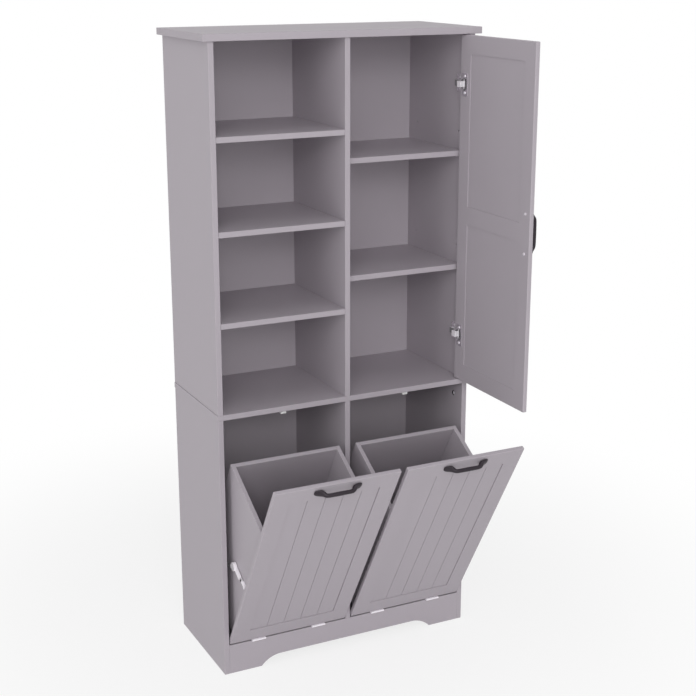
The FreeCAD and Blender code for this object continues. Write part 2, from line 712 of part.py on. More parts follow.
def curved_band(half_width):
    points = [slider_point(share) for share in (0, 0.5, 1)]
    circle = Part.Circle(*points)
    outer = [circle.Center + (p - circle.Center) * (1 + half_width / circle.Radius) for p in points]
    inner = [circle.Center + (p - circle.Center) * (1 - half_width / circle.Radius) for p in points]
    tips = []
    for end, beside in ((points[0], points[1]), (points[2], points[1])):
        along = (end - circle.Center).cross(FreeCAD.Vector(1, 0, 0)).normalize()
        away = along if along.dot(end - beside) > 0 else along * -1
        tips.append(end + away * half_width)
    edges = [
        Part.Arc(*outer).toShape(),
        Part.Arc(outer[2], tips[1], inner[2]).toShape(),
        Part.Arc(inner[2], inner[1], inner[0]).toShape(),
        Part.Arc(inner[0], tips[0], outer[0]).toShape(),
    ]
    return Part.Face(Part.Wire(edges))


slot_half = number("slider_radius") + number("slider_clearance")
through = FreeCAD.Vector(number("guide_thickness"), 0, 0)
rail = curved_band(slot_half + number("guide_wall")).extrude(through)
rail = rail.cut(curved_band(slot_half).extrude(through))
wall_x = number("carcass_width") / 2 - number("board")
left_rail = rail.translated(FreeCAD.Vector(-wall_x, 0, 0))
right_rail = rail.translated(FreeCAD.Vector(wall_x - number("guide_thickness"), 0, 0))
guides = doc.addObject("Part::Feature", "stay_guides")
guides.Shape = Part.makeCompound([left_rail, right_rail])
node("stay_guides", guides)

# Hampers, catches and stays, left and right
catches = []
fixed_leaves = []
butt_pins = []
for hand, side in (("left", "-1"), ("right", "1")):
    x_low, x_high = (f"-{FAR}", f"-{NEAR}") if hand == "left" else (NEAR, FAR)
    bay_middle = f"({side} * ({NEAR} + {FAR}) / 2)"

    turning_leaves = []
    for low in (f"({x_low} + size.butt_inset)", f"({x_high} - size.butt_inset - size.butt_length)"):
        fixed, pin, turning = butt_hinge(low)
        fixed_leaves.append(fixed)
        butt_pins.append(pin)
        turning_leaves.append(turning)
    node(f"{hand}_front_hinge_leaves", group(turning_leaves), TILT)

    pull_holes = pull(f"{hand}_pull", at(bay_middle, FRONT, f"{FRONT_HIGH} - size.pull_drop"), TILT)
    field_x = (f"({x_low} + size.frame_width)", f"({x_high} - size.frame_width)")
    field_z = (f"({FRONT_LOW} + size.frame_width)", f"({FRONT_HIGH} - size.frame_width)")
    blank = eased(box((x_low, x_high), (FRONT, FRONT_INSIDE), (FRONT_LOW, FRONT_HIGH)), "front_round")
    node(f"{hand}_front", cut(blank, field_cuts(field_x, field_z, FIELD_BOARDS) + [pull_holes]), TILT)

    bin_low, bin_high = f"({x_low} + size.bin_inset)", f"({x_high} - size.bin_inset)"
    bin_y = (FRONT_INSIDE, f"({FRONT} + size.bin_rear)")
    bin_floor = f"({FRONT_LOW} + size.bin_lift)"
    bin_z = (bin_floor, f"{bin_floor} + size.bin_height")
    between = (f"{bin_low} + size.bin_board", f"{bin_high} - size.bin_board")
    before_back = (bin_y[0], f"{bin_y[1]} - size.bin_board")
    board(f"{hand}_bin_left_side", (bin_low, between[0]), bin_y, bin_z, placement=TILT)
    board(f"{hand}_bin_right_side", (between[1], bin_high), bin_y, bin_z, placement=TILT)
    board(f"{hand}_bin_back", between, (before_back[1], bin_y[1]), bin_z, placement=TILT)
    board(f"{hand}_bin_bottom", between, before_back, (bin_floor, f"{bin_floor} + size.bin_board"),
          placement=TILT)

    strike_top = f"{FRONT_HIGH} - size.strike_drop"
    strike_y = (FRONT_INSIDE, f"{FRONT_INSIDE} + size.strike_thickness")
    strike = box(span(bay_middle, "size.strike_length / 2"), strike_y,
                 (f"{strike_top} - size.strike_height", strike_top))
    node(f"{hand}_strike_plate", group([strike]), TILT)
    catch_face = f"({strike_y[1]} + size.catch_gap)"
    catches.append(eased(box(span(bay_middle, "size.catch_length / 2"),
                             (catch_face, f"{catch_face} + size.catch_depth"),
                             (f"{MID_UNDER} - size.catch_height", MID_UNDER))))

    # The stay's parts are drawn from the bin's outer face: "out" runs from the bin to the cabinet side
    outward, inward = ("-x", "+x") if hand == "left" else ("+x", "-x")

    def out(low, high):
        ends = (f"{side} * ({low})", f"{side} * ({high})")
        return ends if hand == "right" else ends[::-1]

    strip_low = "(size.stay_base + size.stay_play)"
    strip_high = f"({strip_low} + size.stay_strip)"
    head_low = f"({strip_high} + size.stay_play)"
    drum_high = f"({strip_low} + size.stay_drum)"
    pin_place = at(f"{side} * ({FAR} - size.bin_inset)", f"{FRONT} + size.stay_pin_depth",
                   "size.stay_pin_height")
    base = eased(box(out("0", "size.stay_base"), span("0", "size.stay_base_length / 2"),
                     span("0", "size.stay_base_width / 2")), "stay_play")
    pin_length = f"{head_low} + size.stay_head"
    pin = rod(("0", "0", "0"), outward, "size.stay_pin_radius", pin_length)
    head = rod((f"{side} * {head_low}", "0", "0"), outward, "size.stay_head_radius", "size.stay_head")
    node(f"{hand}_stay_pivot", joined(base, pin, head), f"{TILT} * {pin_place}")

    # The strip thickens to a bar and rises to a drum, and a tail leads from the drum down to the slider
    strip = box(out(strip_low, strip_high), ("0", "size.stay_reach"), span("0", "size.stay_width / 2"))
    tip = rod((f"{side} * {strip_low}", "0", "0"), outward, "size.stay_width / 2", "size.stay_strip")
    bar = box(out(strip_low, f"{strip_low} + size.stay_bar"), ("size.stay_bar_start", "size.stay_reach"),
              span("size.stay_bar_rise", "size.stay_bar_width / 2"))
    drum = rod((f"{side} * {strip_low}", "size.stay_reach", "0"), outward, "size.stay_drum_radius",
               "size.stay_drum")
    hole = rod(("0", "0", "0"), outward, "size.stay_pin_radius + size.hinge_running_gap", pin_length)
    slot = box(out("0", pin_length), span("size.stay_slot_place", "size.stay_slot_width / 2"),
               span("0", "size.stay_slot_length / 2"))
    crank = cut(joined(strip, tip, bar, drum), [hole, slot])
    crank.setExpression("Placement", at(0, 0, 0, turn(X_AXIS, "size.stay_crank")))
    rise = "(size.stay_reach * sin(size.stay_crank))"
    reach = "(size.stay_reach * cos(size.stay_crank))"
    run = f"(size.stay_length - {reach})"
    tail_length = f"sqrt({rise} ^ 2 + {run} ^ 2)"
    tail_low = f"({drum_high} - size.stay_tail)"
    slider_length = "size.front_gap + size.bin_inset - size.slider_wall_gap"
    tail_end = (f"{side} * {tail_low}", tail_length, "0")
    tail = joined(
        box(out(tail_low, drum_high), ("0", tail_length), span("0", "size.stay_tail_width / 2")),
        rod(tail_end, outward, "size.stay_tail_width / 2", "size.stay_tail"),
        rod(tail_end, outward, "size.slider_radius", f"{slider_length} - {tail_low}"),
    )
    tail.setExpression("Placement", at(0, reach, rise, turn(X_AXIS, f"-atan2({rise}; {run}) / 1 deg")))
    lean = at(0, 0, 0, turn(X_AXIS, "size.stay_open_angle - size.hamper_open_angle"))
    node(f"{hand}_stay_arm", joined(crank, tail), f"{TILT} * {pin_place} * {lean}")
node("hamper_catches", group(catches))
node("apron_hinge_leaves", group(fixed_leaves))
node("hamper_hinge_pins", group(butt_pins))

# Every object has to be sound before anything is written
doc.recompute()
for item in doc.Objects:
    if "Invalid" in item.State or "Error" in item.State:
        raise RuntimeError(f"{item.Label} failed: {item.State}")
for piece in nodes:
    if piece.Shape.isNull() or not piece.Shape.isValid() or not piece.Shape.Solids:
        raise RuntimeError(f"{piece.Label} has no valid solid")

os.makedirs("parts", exist_ok=True)
for piece in nodes:
    piece.Shape.exportStep(f"parts/{piece.Label}.step")
print(f"{len(nodes)} nodes written")
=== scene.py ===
# %% [markdown]
# # A tall tilt-out hamper cabinet
# The cabinet comes as a finished construction: every board, hinge and screw is already at its real
# size. This lesson gives it its paint, metal and small shaped fittings, and then lights and frames
# it. Everything is in metres. +Z is up, the front faces -Y, and the wall is at y = 0.

# %% Load the construction
import json
import math

import bmesh
import bpy
from mathutils import Matrix, Vector


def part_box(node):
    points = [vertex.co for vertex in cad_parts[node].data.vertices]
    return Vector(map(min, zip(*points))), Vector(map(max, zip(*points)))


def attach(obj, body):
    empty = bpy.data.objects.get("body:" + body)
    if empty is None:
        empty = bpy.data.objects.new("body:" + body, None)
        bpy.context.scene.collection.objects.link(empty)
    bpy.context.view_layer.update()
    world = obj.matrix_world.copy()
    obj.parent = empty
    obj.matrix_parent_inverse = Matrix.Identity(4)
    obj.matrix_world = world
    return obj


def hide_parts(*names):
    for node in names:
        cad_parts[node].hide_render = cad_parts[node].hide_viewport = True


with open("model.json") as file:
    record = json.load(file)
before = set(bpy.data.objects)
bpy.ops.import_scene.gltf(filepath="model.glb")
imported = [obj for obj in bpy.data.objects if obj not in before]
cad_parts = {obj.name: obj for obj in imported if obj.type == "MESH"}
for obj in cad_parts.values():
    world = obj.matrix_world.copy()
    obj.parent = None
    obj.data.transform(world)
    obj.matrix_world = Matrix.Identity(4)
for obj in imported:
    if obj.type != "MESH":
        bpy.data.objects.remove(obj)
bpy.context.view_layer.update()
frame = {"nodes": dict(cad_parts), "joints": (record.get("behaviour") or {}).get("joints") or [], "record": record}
nodes = frame["nodes"]
MM = 0.001


# %% [markdown]
# ## Shader maths as plain expressions
# A finish is easier to read when its maths looks like maths. A small class wraps a socket, so that
# `0.4 + 0.1 * grain` adds the Math nodes by itself. A second class starts a material and makes its
# nodes. A Mix node has sockets for every kind of data, so its colour sockets go by number.

# %% A socket that can be calculated with
class Reading:
    def __init__(self, finish, socket):
        self.finish = finish
        self.socket = socket

    def combine(self, operation, left, right):
        return self.finish.node("ShaderNodeMath", {"operation": operation}, {0: left, 1: right})

    def __add__(self, other):
        return self.combine("ADD", self, other)

    def __radd__(self, other):
        return self.combine("ADD", other, self)

    def __sub__(self, other):
        return self.combine("SUBTRACT", self, other)

    def __rsub__(self, other):
        return self.combine("SUBTRACT", other, self)

    def __mul__(self, other):
        return self.combine("MULTIPLY", self, other)

    def __rmul__(self, other):
        return self.combine("MULTIPLY", other, self)


# %% A material under construction
MIX_FACTOR, MIX_FIRST, MIX_SECOND, MIX_RESULT = 0, 6, 7, 2


class Finish:
    def __init__(self, name):
        self.material = bpy.data.materials.new(name)
        self.material.use_nodes = True
        self.tree = self.material.node_tree
        self.tree.nodes.clear()
        self.surface = self.tree.nodes.new("ShaderNodeBsdfPrincipled")
        self.output = self.tree.nodes.new("ShaderNodeOutputMaterial")
        self.tree.links.new(self.surface.outputs[0], self.output.inputs[0])
        self.place = self.node("ShaderNodeTexCoord", output="Object")

    def node(self, kind, settings=None, inputs=None, output=0):
        made = self.tree.nodes.new(kind)
        for name, value in (settings or {}).items():
            setattr(made, name, value)
        for name, value in (inputs or {}).items():
            self.feed(made.inputs[name], value)
        return Reading(self, made.outputs[output])

    def feed(self, socket, value):
        if isinstance(value, Reading):
            self.tree.links.new(value.socket, socket)
        else:
            socket.default_value = value

    def set(self, **values):
        for name, value in values.items():
            self.feed(self.surface.inputs[name.replace("_", " ")], value)

    def noise(self, scale, detail=2.0, stretch=(1, 1, 1)):
        place = self.node("ShaderNodeMapping", inputs={"Vector": self.place, "Scale": stretch})
        inputs = {"Vector": place, "Scale": scale, "Detail": detail}
        return self.node("ShaderNodeTexNoise", inputs=inputs)

    def between(self, factor, first, second):
        inputs = {MIX_FACTOR: factor, MIX_FIRST: first, MIX_SECOND: second}
        return self.node("ShaderNodeMix", {"data_type": "RGBA"}, inputs, output=MIX_RESULT)

    def bump(self, height, distance, strength):
        inputs = {"Height": height, "Distance": distance, "Strength": strength}
        return self.node("ShaderNodeBump", inputs=inputs)


# %% A colour as a screen shows it, turned into linear light
def srgb(red, green, blue):
    def linear(value):
        share = value / 255
        return share / 12.92 if share <= 0.04045 else ((share + 0.055) / 1.055) ** 2.4
    return (linear(red), linear(green), linear(blue), 1.0)


# %% [markdown]
# ## Sprayed paint on board
# Boards like these are fibreboard, sprayed a pale mauve-grey. Sprayed paint is never quite flat: it
# has a soft cloudiness, and a fine pebbling that a low lamp picks out. A picture of paint would
# repeat on so many boards, so noises give these: a broad one for the colour and the gloss, a fine
# one for the bump, and a third that adds specks to the gloss and the bump.

# %% Mauve-grey paint
def make_paint():
    paint = Finish("mauve_grey_paint")
    cloud = paint.noise(scale=3.2, detail=3.0)
    pebble = paint.noise(scale=620.0, detail=1.0)
    speck = paint.noise(scale=190.0)
    paint.set(
        Base_Color=paint.between(cloud, srgb(175, 168, 175), srgb(180, 173, 180)),
        Specular_IOR_Level=0.3,
        Roughness=0.40 + 0.10 * cloud + 0.06 * speck,
        Normal=paint.bump(pebble + 0.4 * speck, distance=0.06 * MM, strength=0.6),
    )
    return paint.material


paint = make_paint()
print("paint:", paint.name)

# %% [markdown]
# ## Black lacquer, painted shade black, zinc, nickel, plastic and beech
# The pulls are cast metal under satin black lacquer, so their surface is slightly sandy. The plugs in
# the stays' slots are a darker, duller black that paints the shadow inside the slots, so the same
# function makes both. Stamped steel has fine drawing lines: where it is nickel plated it mirrors what
# is around it, and where it is bright zinc it scatters light and looks nearly white. One function
# makes these too, and an attribute on the faces says where shade is painted on it, or grey on the
# drum caps. The catches are moulded white plastic, and the dowels are bare beech with long grain and
# short flecks.

# %% Black lacquer on the pulls and near-black painted shade on the plugs in the stays' slots
def make_black(name, deep, worn, roughness):
    black = Finish(name)
    sand = black.noise(scale=900.0)
    cloud = black.noise(scale=60.0)
    black.set(
        Base_Color=black.between(cloud, srgb(*deep), srgb(*worn)),
        Specular_IOR_Level=0.25,
        Roughness=roughness + 0.16 * sand,
        Normal=black.bump(sand, distance=0.12 * MM, strength=0.7),
    )
    return black.material


# %% Stamped steel on hinges, stays and screws
# Faces darken toward this black by their 'dark' attribute: painted shade on the cam sleeves, hinge bodies, cup
# hollows and stay tails, and painted grey on the drum caps.
DARKENING_BLACK = srgb(16, 13, 16)


def make_steel(name, dull, bright, metal, roughness):
    steel = Finish(name)
    lines = steel.noise(scale=260.0, detail=3.0, stretch=(1, 1, 14))
    cloud = steel.noise(scale=70.0)
    plating = steel.between(cloud, srgb(*dull), srgb(*bright))
    dark = steel.node("ShaderNodeAttribute", {"attribute_name": "dark"}, output="Fac")
    steel.set(
        Base_Color=steel.between(dark, plating, DARKENING_BLACK),
        Metallic=(metal + 0.1 * lines) * (1 - dark),
        Roughness=roughness + 0.14 * lines,
        Normal=steel.bump(lines, distance=0.03 * MM, strength=0.5),
    )
    return steel.material


# %% White plastic on the catches
def make_plastic():
    plastic = Finish("moulded_white_plastic")
    grain = plastic.noise(scale=700.0, detail=1.0)
    cloud = plastic.noise(scale=90.0)
    plastic.set(
        Base_Color=plastic.between(cloud, srgb(240, 240, 238), srgb(249, 249, 248)),
        Roughness=0.42 + 0.1 * grain,
        Normal=plastic.bump(grain, distance=0.04 * MM, strength=0.5),
    )
    return plastic.material


# %% Beech on the dowels
def make_beech():
    beech = Finish("bare_beech")
    grain = beech.noise(scale=140.0, detail=4.0, stretch=(1, 1, 0.08))
    fleck = beech.noise(scale=500.0, detail=1.0, stretch=(1, 1, 0.2))
    beech.set(
        Base_Color=beech.between(grain, srgb(196, 160, 112), srgb(222, 190, 146)),
        Roughness=0.55 + 0.15 * fleck,
        Normal=beech.bump(fleck, distance=0.05 * MM, strength=0.5),
    )
    return beech.material


# %% Every node gets its finish
finishes = {
    "painted_board": paint,
    "pull_black": make_black("satin_black_lacquer", (42, 35, 42), (52, 45, 52), roughness=0.34),
    "hinge_metal": make_steel("bright_zinc", (246, 241, 247), (253, 249, 254),
                              metal=0.06, roughness=0.28),
    "screw_steel": make_steel("cloudy_zinc", (229, 224, 230), (247, 242, 248),
                              metal=0.22, roughness=0.26),
    "catch_white": make_plastic(),
    "dowel_wood": make_beech(),
}
# The plugs in the stays' slots are painted shade: a near-black piece stands where the slot shows only shadow.
slot_shade_black = make_black("painted_shade_black", (20, 16, 20), (28, 23, 28), roughness=0.66)
nickel = make_steel("polished_nickel", (222, 217, 224), (238, 233, 240), metal=0.72, roughness=0.16)
NICKEL_PIECES = {
    "door_hinge_cups",
    "hinge_mounting_plates",
    "left_strike_plate",
    "right_strike_plate",
}
slot_of = {part["node"]: part["material_slot"] for part in frame["record"]["subparts"]}
bodies = frame["record"]["behaviour"]["bodies"]
body_of = {name: body for body, names in bodies.items() for name in names}
for name, node in nodes.items():
    node.data.materials.clear()
    node.data.materials.append(nickel if name in NICKEL_PIECES else finishes[slot_of[name]])
print("finishes:", ", ".join(material.name for material in [*finishes.values(), slot_shade_black, nickel]))

# %% [markdown]
# ## Cast bow pulls
# Each pull is one casting: a leaf-shaped foot flows up into a slanted leg, a bar, and down again.
# It could be cut from cylinders and domes, but the flow between them would be lost. So a ring is
# extruded from station to station along the pull, and a subdivision surface rounds it. The feet are
# flat where they seat.

# %% Stations of half a pull, in millimetres: along, out, width, thickness
PULL_STATIONS = [
    (67.2, 0.8, 10.0, 1.8),
    (65.2, 2.0, 16.0, 4.6),
    (61.0, 3.2, 19.8, 7.4),
    (55.8, 4.1, 21.5, 9.4),
    (50.4, 5.0, 22.0, 11.4),
    (45.4, 6.8, 20.0, 14.0),
    (42.4, 10.2, 15.5, 13.4),
    (40.0, 13.4, 12.4, 12.0),
    (36.6, 16.1, 12.0, 11.6),
    (29.0, 16.9, 11.2, 11.2),
    (14.0, 16.9, 11.6, 11.4),
    (0.0, 16.9, 12.0, 11.6),
]
PULL_SIDES = 16
print(len(PULL_STATIONS), "stations make half a pull")


# %% A ring extruded from station to station
def edges_of(verts):
    return list(dict.fromkeys(edge for vert in verts for edge in vert.link_edges))


def only(items, kind):
    return [item for item in items if isinstance(item, kind)]


def extrude_ring(mesh, edges):
    made = bmesh.ops.extrude_edge_only(mesh, edges=edges)["geom"]
    ring = only(made, bmesh.types.BMVert)
    rim = set(ring)
    far_edges = [edge for edge in only(made, bmesh.types.BMEdge) if rim.issuperset(edge.verts)]
    return ring, far_edges, only(made, bmesh.types.BMFace)


def loft(mesh, stations):
    circle = bmesh.ops.create_circle(mesh, cap_ends=False, radius=0.5, segments=PULL_SIDES)
    ring = circle["verts"]
    edges = edges_of(ring)
    last = Matrix.Identity(4)
    across = Vector((0, 0, 1))
    points = [Vector((along, -out, 0)) for along, out, _, _ in stations]
    for index, (_, _, width, thickness) in enumerate(stations):
        ahead = points[min(index + 1, len(points) - 1)] - points[max(index - 1, 0)]
        tangent = ahead.normalized()
        outward = tangent.cross(across)
        station = Matrix((across * width, outward * thickness, tangent)).transposed().to_4x4()
        station.translation = points[index]
        if index:
            ring, edges, _ = extrude_ring(mesh, edges)
        bmesh.ops.transform(mesh, matrix=station @ last.inverted(), verts=ring)
        last = station
    bmesh.ops.holes_fill(mesh, edges=mesh.edges[:], sides=PULL_SIDES)


# %% From a mesh to a piece that rides on its body
OWN_SEAM = 0.0001 * MM


def add_piece(mesh, name, material, body, smooth):
    bmesh.ops.remove_doubles(mesh, verts=mesh.verts[:], dist=OWN_SEAM)
    bmesh.ops.recalc_face_normals(mesh, faces=mesh.faces[:])
    for face in mesh.faces:
        face.smooth = smooth
    data = bpy.data.meshes.new(name)
    mesh.to_mesh(data)
    mesh.free()
    piece = bpy.data.objects.new(name, data)
    bpy.context.collection.objects.link(piece)
    data.materials.append(material)
    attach(piece, body)
    return piece


def finish_piece(mesh, ending, node_name, smooth=True, levels=0):
    name = f"{node_name}_{ending}"
    material = nodes[node_name].data.materials[0]
    piece = add_piece(mesh, name, material, body_of[node_name], smooth)
    if levels:
        rounding = piece.modifiers.new("rounding", "SUBSURF")
        rounding.levels = levels
        rounding.render_levels = levels
    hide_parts(node_name)
    return piece


# %% One pull
def make_pull(name, place):
    other_half = [(-along, *rest) for along, *rest in PULL_STATIONS[-2::-1]]
    mesh = bmesh.new()
    loft(mesh, PULL_STATIONS + other_half)
    for vert in mesh.verts:
        vert.co.y = min(vert.co.y, 0)
    bmesh.ops.transform(mesh, matrix=place @ Matrix.Scale(MM, 4), verts=mesh.verts[:])
    return finish_piece(mesh, "casting", name, levels=2)


# %% [markdown]
# ## Where the fronts stand
# The hampers are tilted and the door is swung, so each pull needs its own placement. The joints in
# the record give the axes, and the shut positions follow from the sizes of the fronts.

# %% Placements of the three pulls
joints = {joint["name"]: joint for joint in frame["joints"]}
QUARTER_TURN = math.radians(90)
HAMPER_TILT = math.radians(30.2)
FRONT_Y = -336 * MM
HAMPER_PULL_HEIGHT = 726 * MM
BAY_MIDDLE = 187.75 * MM
DOOR_PULL_X = 31 * MM
DOOR_PULL_Z = 1244.5 * MM


def turned(joint_name, angle, axis):
    centre = Matrix.Translation(Vector(joints[joint_name]["pos_m"]))
    return centre @ Matrix.Rotation(angle, 4, axis) @ centre.inverted()


tilts = {hand: turned(f"{hand}_hamper_tilt", HAMPER_TILT, "X") for hand in ("left", "right")}
swing = turned("door_swing", QUARTER_TURN, "Z")
for hand, x in (("left", -BAY_MIDDLE), ("right", BAY_MIDDLE)):
    shut = Matrix.Translation((x, FRONT_Y, HAMPER_PULL_HEIGHT))
    make_pull(f"{hand}_pull", tilts[hand] @ shut)
shut = Matrix.Translation((DOOR_PULL_X, FRONT_Y, DOOR_PULL_Z))
make_pull("door_pull", swing @ shut @ Matrix.Rotation(QUARTER_TURN, 4, "Y"))

# %% [markdown]
# ## Screws with cross recesses
# Every screw already sits in its hole, so its place can be read from the construction: each screw
# is one island of its mesh. The head starts as a small grid pressed into a disc. The faces of the
# cross are inset and pushed down, then the rim is extruded into the head's side, the shank and its
# end.

# %% Islands of a piece
CAD_SEAM = 0.001 * MM


def merged(name):
    mesh = bmesh.new()
    mesh.from_mesh(nodes[name].data)
    bmesh.ops.remove_doubles(mesh, verts=mesh.verts[:], dist=CAD_SEAM)
    return mesh


def islands(name):
    mesh = merged(name)
    seen = set()
    found = []
    for start in mesh.verts:
        if start in seen:
            continue
        seen.add(start)
        wave = [start]
        island = []
        while wave:
            vert = wave.pop()
            island.append(vert.co.copy())
            fresh = {edge.other_vert(vert) for edge in vert.link_edges} - seen
            seen |= fresh
            wave.extend(fresh)
        found.append(island)
    mesh.free()
    return found


def extent(points):
    lows = Vector([min(point[axis] for point in points) for axis in range(3)])
    highs = Vector([max(point[axis] for point in points) for axis in range(3)])
    return lows, highs


# %% A disc with a cross recess, its sizes as shares of the radius
HEAD_CELLS = 7
CROSS_ARM = 2
CROSS_SLOPE = 0.06
CROSS_DEPTH = 0.22
CROWN_FALL = 0.3


def cross_faces(head):
    middle = HEAD_CELLS // 2
    cross = []
    for face in dict.fromkeys(face for vert in head for face in vert.link_faces):
        centre = face.calc_center_median()
        column = round((centre.x + 1) * HEAD_CELLS / 2 - 0.5) - middle
        row = round((centre.y + 1) * HEAD_CELLS / 2 - 0.5) - middle
        if 0 in (column, row) and max(abs(column), abs(row)) <= CROSS_ARM:
            cross.append(face)
    return cross


def add_head(mesh, radius, crown):
    grid = bmesh.ops.create_grid(mesh, x_segments=HEAD_CELLS, y_segments=HEAD_CELLS, size=1)
    head = grid["verts"]
    cross = cross_faces(head)
    rim = [edge for edge in edges_of(head) if edge.is_boundary]
    for vert in head:
        x, y = vert.co.x, vert.co.y
        vert.co.x = x * math.sqrt(1 - y * y / 2) * radius
        vert.co.y = y * math.sqrt(1 - x * x / 2) * radius
        vert.co.z = crown * (1 - CROWN_FALL * (x * x + y * y) / 2)
    bmesh.ops.inset_region(mesh, faces=cross, thickness=CROSS_SLOPE * radius,
                           depth=-CROSS_DEPTH * radius)
    return rim


# %% One screw, standing on its seat with its head along +Z
def add_screw(mesh, head_radius, head_height, shank_radius, length, pan, place):
    before = set(mesh.verts)
    edges = add_head(mesh, head_radius, head_height if pan else 0)
    steps = [(shank_radius, -head_height), (shank_radius, -length)]
    if pan:
        steps = [(head_radius, 0), (shank_radius, 0), (shank_radius, -length)]
    last = head_radius
    for radius, level in steps:
        ring, edges, _ = extrude_ring(mesh, edges)
        bmesh.ops.scale(mesh, vec=(radius / last, radius / last, 1), verts=ring)
        for vert in ring:
            vert.co.z = level
        last = radius
    bmesh.ops.contextual_create(mesh, geom=edges)
    added = [vert for vert in mesh.verts if vert not in before]
    bmesh.ops.transform(mesh, matrix=place, verts=added)


# %% Every screw of a piece, in the place that its island has
def facing(outward):
    return Vector(outward).normalized().to_track_quat("Z", "Y").to_matrix().to_4x4()


def make_screws(name, outward, head_height, shank_radius, pan=True):
    turn = facing(outward)
    back = turn.inverted()
    mesh = bmesh.new()
    for island in islands(name):
        lows, highs = extent([back @ point for point in island])
        top = highs.z - (head_height if pan else 0)
        seat = Vector(((lows.x + highs.x) / 2, (lows.y + highs.y) / 2, top))
        head_radius = (highs.x - lows.x) / 2
        place = turn @ Matrix.Translation(seat)
        add_screw(mesh, head_radius, head_height, shank_radius, top - lows.z, pan, place)
    return finish_piece(mesh, "cross_heads", name, smooth=False)


PULL_SCREW = {"head_height": 2.0 * MM, "shank_radius": 2.0 * MM}
HINGE_SCREW = {"head_height": 1.8 * MM, "shank_radius": 1.7 * MM}
BACK_SCREW = {"head_height": 2.5 * MM, "shank_radius": 1.5 * MM, "pan": False}
TO_WALL = Vector((0, 1, 0))
inside_door = swing.to_3x3() @ TO_WALL
screw_sets = [
    ("left_pull_screws", tilts["left"].to_3x3() @ TO_WALL, PULL_SCREW),
    ("right_pull_screws", tilts["right"].to_3x3() @ TO_WALL, PULL_SCREW),
    ("door_pull_screws", inside_door, PULL_SCREW),
    ("hinge_cup_screws", inside_door, HINGE_SCREW),
    ("hinge_plate_screws", (-1, 0, 0), HINGE_SCREW),
    ("back_panel_screws", TO_WALL, BACK_SCREW),
]
for name, outward, sizes in screw_sets:
    piece = make_screws(name, outward, **sizes)
    print(piece.name, "has", len(piece.data.polygons), "faces")

# %% [markdown]
# ## Cam locks
# A cam lock is a die-cast drum in a round hole. It turns off centre, so a crescent of the hole stays
# open behind it, and a thin black sleeve lines the hole to paint the shade inside that crescent. The
# drum is made as a countersunk screw is, with a straight shank. The sleeve's faces carry an
# attribute, and the steel finish darkens by it.

# %% A black shade sleeve with an open bore, painted shade in the hole
SHADE_SLEEVE_SIDES = 32
SHADE_SLEEVE_WALL = 0.3 * MM
SHADE_SLEEVE_DEPTH = 8 * MM


def add_shade_sleeve(mesh, dark, radius, place):
    circle = bmesh.ops.create_circle(mesh, cap_ends=False, radius=radius, segments=SHADE_SLEEVE_SIDES)
    verts = list(circle["verts"])
    mouth = edges = edges_of(verts)
    faces = []
    bore = radius - SHADE_SLEEVE_WALL
    for reach, level in ((radius, -SHADE_SLEEVE_DEPTH), (bore, -SHADE_SLEEVE_DEPTH), (bore, 0)):
        ring, edges, walls = extrude_ring(mesh, edges)
        for vert in ring:
            vert.co = vert.co.to_2d().normalized().to_3d() * reach + Vector((0, 0, level))
        verts += ring
        faces += walls
    faces += bmesh.ops.bridge_loops(mesh, edges=mouth + edges)["faces"]
    for face in faces:
        # every face of the sleeve is black: painted shade in the hole
        face[dark] = 1
    bmesh.ops.transform(mesh, matrix=place, verts=verts)


# %% Cam drums, seated against the front of their shade sleeves
DRUM_RADIUS = 4.9 * MM
DRUM_SINK = 0.8 * MM
DRUM_PLAY = 0.1 * MM
DRUM_HEAD = 2 * MM


def make_cams(name):
    mesh = bmesh.new()
    dark = mesh.faces.layers.float.new("dark")
    for island in islands(name):
        lows, highs = extent(island)
        centre = (lows + highs) / 2
        inward = -1 if centre.x > 0 else 1
        hole_radius = (highs.z - lows.z) / 2
        length = highs.x - lows.x
        face = highs.x if inward > 0 else lows.x
        forward = hole_radius - SHADE_SLEEVE_WALL - 2 * DRUM_PLAY - DRUM_RADIUS
        seat = Vector((face - inward * DRUM_SINK, centre.y - forward, centre.z))
        turn = facing((inward, 0, 0))
        place = Matrix.Translation(seat) @ turn
        drum_length = length - 2 * DRUM_SINK
        add_screw(mesh, DRUM_RADIUS, DRUM_HEAD, DRUM_RADIUS, drum_length, False, place)
        mouth = Matrix.Translation((face, centre.y, centre.z)) @ turn
        add_shade_sleeve(mesh, dark, hole_radius - DRUM_PLAY, mouth)
    return finish_piece(mesh, "drums", name, smooth=False)


make_cams("cam_locks")

# %% [markdown]
# ## Fittings with eased edges
# Stamped and moulded fittings have no knife edges: a thin bright line runs along each corner. The
# construction's own meshes stay as they are, so a merged copy of each fitting has its sharp edges
# bevelled and stands in for it. A bevel only takes material away, so the copy can't reach into its
# neighbours.

# %% Bevel the sharp edges
FLAT = math.radians(0.5)
SHARP = math.radians(40)


def bevel(mesh, edges, width):
    bmesh.ops.bevel(mesh, geom=edges, offset=width, offset_type="OFFSET", affect="EDGES",
                    segments=2, profile=0.5, material=-1, clamp_overlap=True)


def bevel_sharp_edges(mesh, width):
    bmesh.ops.dissolve_limit(mesh, angle_limit=FLAT, verts=mesh.verts[:], edges=mesh.edges[:])
    closed = [edge for edge in mesh.edges if len(edge.link_faces) == 2]
    bevel(mesh, [edge for edge in closed if edge.calc_face_angle() > SHARP], width)


# %% [markdown]
# ## Painted shade on the steel
# Not all of the steel is bright. The bodies of the door hinges lie in the cabinet's shade, the
# hollows of their cups lie in their own shade, and the stay's tail is lost in the shadow of the gap
# beside it, so shade is painted on their faces. The cap of the stay's drum is painted grey. Each
# shade could be a material of its own, but one finish that reads a number from the face keeps the
# plating the same everywhere.

